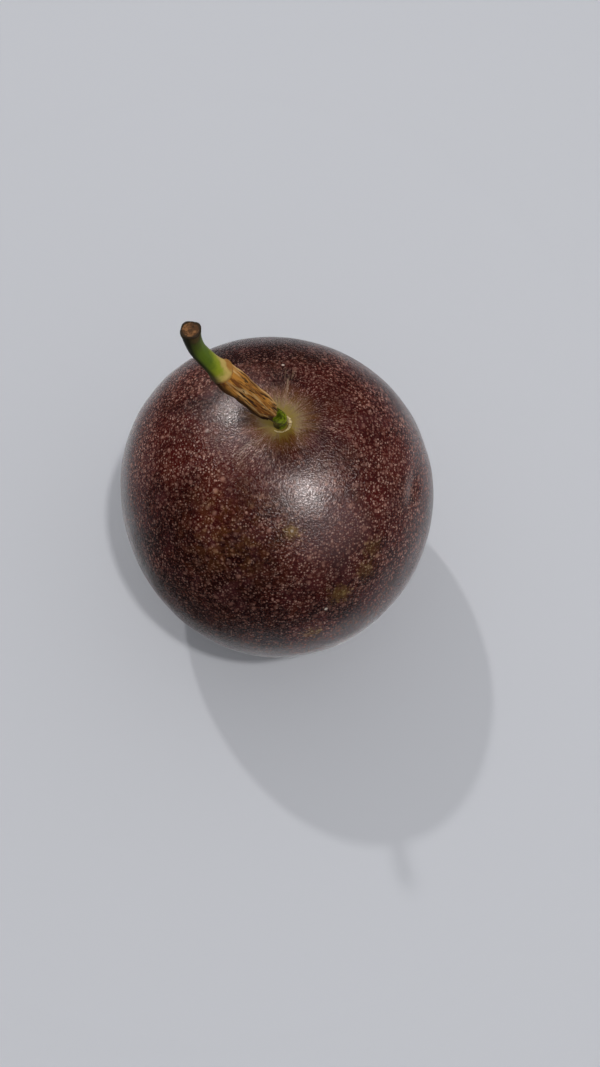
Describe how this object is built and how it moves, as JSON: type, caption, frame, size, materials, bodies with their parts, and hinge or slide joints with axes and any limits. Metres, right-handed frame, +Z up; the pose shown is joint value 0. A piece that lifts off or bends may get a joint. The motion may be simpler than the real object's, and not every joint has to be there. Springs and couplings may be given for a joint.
{
  "type": "passion fruit",
  "caption": "Whole purple passion fruit with its upright picked stalk, withered flower sleeve and dry scar, resting on a small flat spot.",
  "frame": {"origin": "on the surface it rests on, in the flat spot under the middle of the fruit", "axes": "+Z up, out of the surface and toward the stalk; the stalk leans toward -X; +Y is away from the picture's viewer"},
  "size_m": [0.0597, 0.0604, 0.0926],
  "materials": {
    "purple_skin": "waxy satin rind, dark purple-brown with pale corky specks",
    "green_stalk": "smooth living stem, green turning tan at the joint, brown cut end",
    "withered_flower": "dry, creased and matt",
    "dry_scar": "dry, corky and matt"
  },
  "bodies": {
    "root": {"fruit": "purple_skin", "stalk": "green_stalk", "dry_sleeve": "withered_flower", "flower_scar": "dry_scar"}
  },
  "joints": []
}
